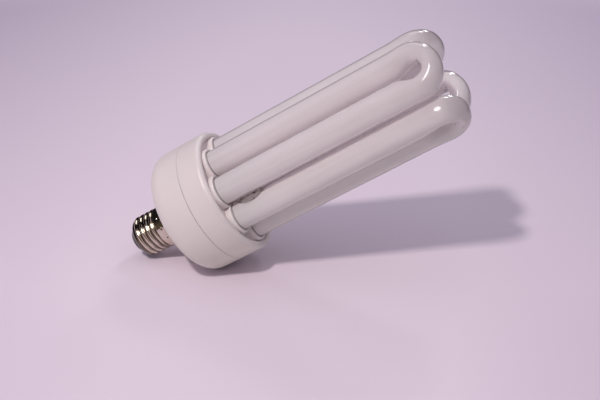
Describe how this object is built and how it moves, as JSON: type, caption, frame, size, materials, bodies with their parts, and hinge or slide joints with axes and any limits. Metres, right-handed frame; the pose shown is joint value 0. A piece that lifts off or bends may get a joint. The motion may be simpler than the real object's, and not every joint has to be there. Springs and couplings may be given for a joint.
{
  "type": "u-tube compact fluorescent lamp",
  "caption": "Screw-in compact fluorescent lamp: a ring of white U-bent glass tubes on a round plastic ballast housing with a threaded metal cap.",
  "frame": {"origin": "centre of the centre contact's end face", "axes": "+Z along the lamp from the cap to the tubes, -Y towards the first U-tube"},
  "size_m": [0.078, 0.078, 0.2255],
  "materials": {
    "nickel_shell": "nickel-plated rolled sheet",
    "solder": "dull solder on a brass eyelet",
    "black_glass": "glossy moulded glass",
    "housing_plastic": "satin moulded, warm white",
    "coated_glass": "clear glass over a white inner coating",
    "clear_glass": "clear, uncoated",
    "board": "phenolic board",
    "ferrite": "dark sintered",
    "copper": "enamelled winding",
    "capacitor_sleeve": "dark sleeve",
    "film_capacitor": "dipped",
    "black_epoxy": "moulded",
    "resistor_body": "lacquered",
    "wire_sleeve": "insulated lead",
    "wire_bare": "bare nickel wire"
  },
  "bodies": {
    "root": {"screw_shell": "nickel_shell", "centre_contact": "solder", "base_insulator": "black_glass", "lower_housing": "housing_plastic", "upper_housing": "housing_plastic", "circuit_board": "board", "choke_core": "ferrite", "choke_winding": "copper", "smoothing_capacitor": "capacitor_sleeve", "resonant_capacitor": "film_capacitor", "coupling_capacitor": "film_capacitor", "transistor_1": "black_epoxy", "transistor_2": "black_epoxy", "drive_transformer": "ferrite", "rectifier_diodes": "black_epoxy", "fusible_resistor": "resistor_body", "filter_choke": "ferrite", "live_lead": "wire_sleeve", "neutral_lead": "wire_sleeve", "filament_wires": "wire_bare", "u_tube_1": "coated_glass", "u_tube_2": "coated_glass", "u_tube_3": "coated_glass", "u_tube_4": "coated_glass", "glass_bridge_1": "clear_glass", "glass_bridge_2": "clear_glass", "glass_bridge_3": "clear_glass"}
  },
  "joints": []
}
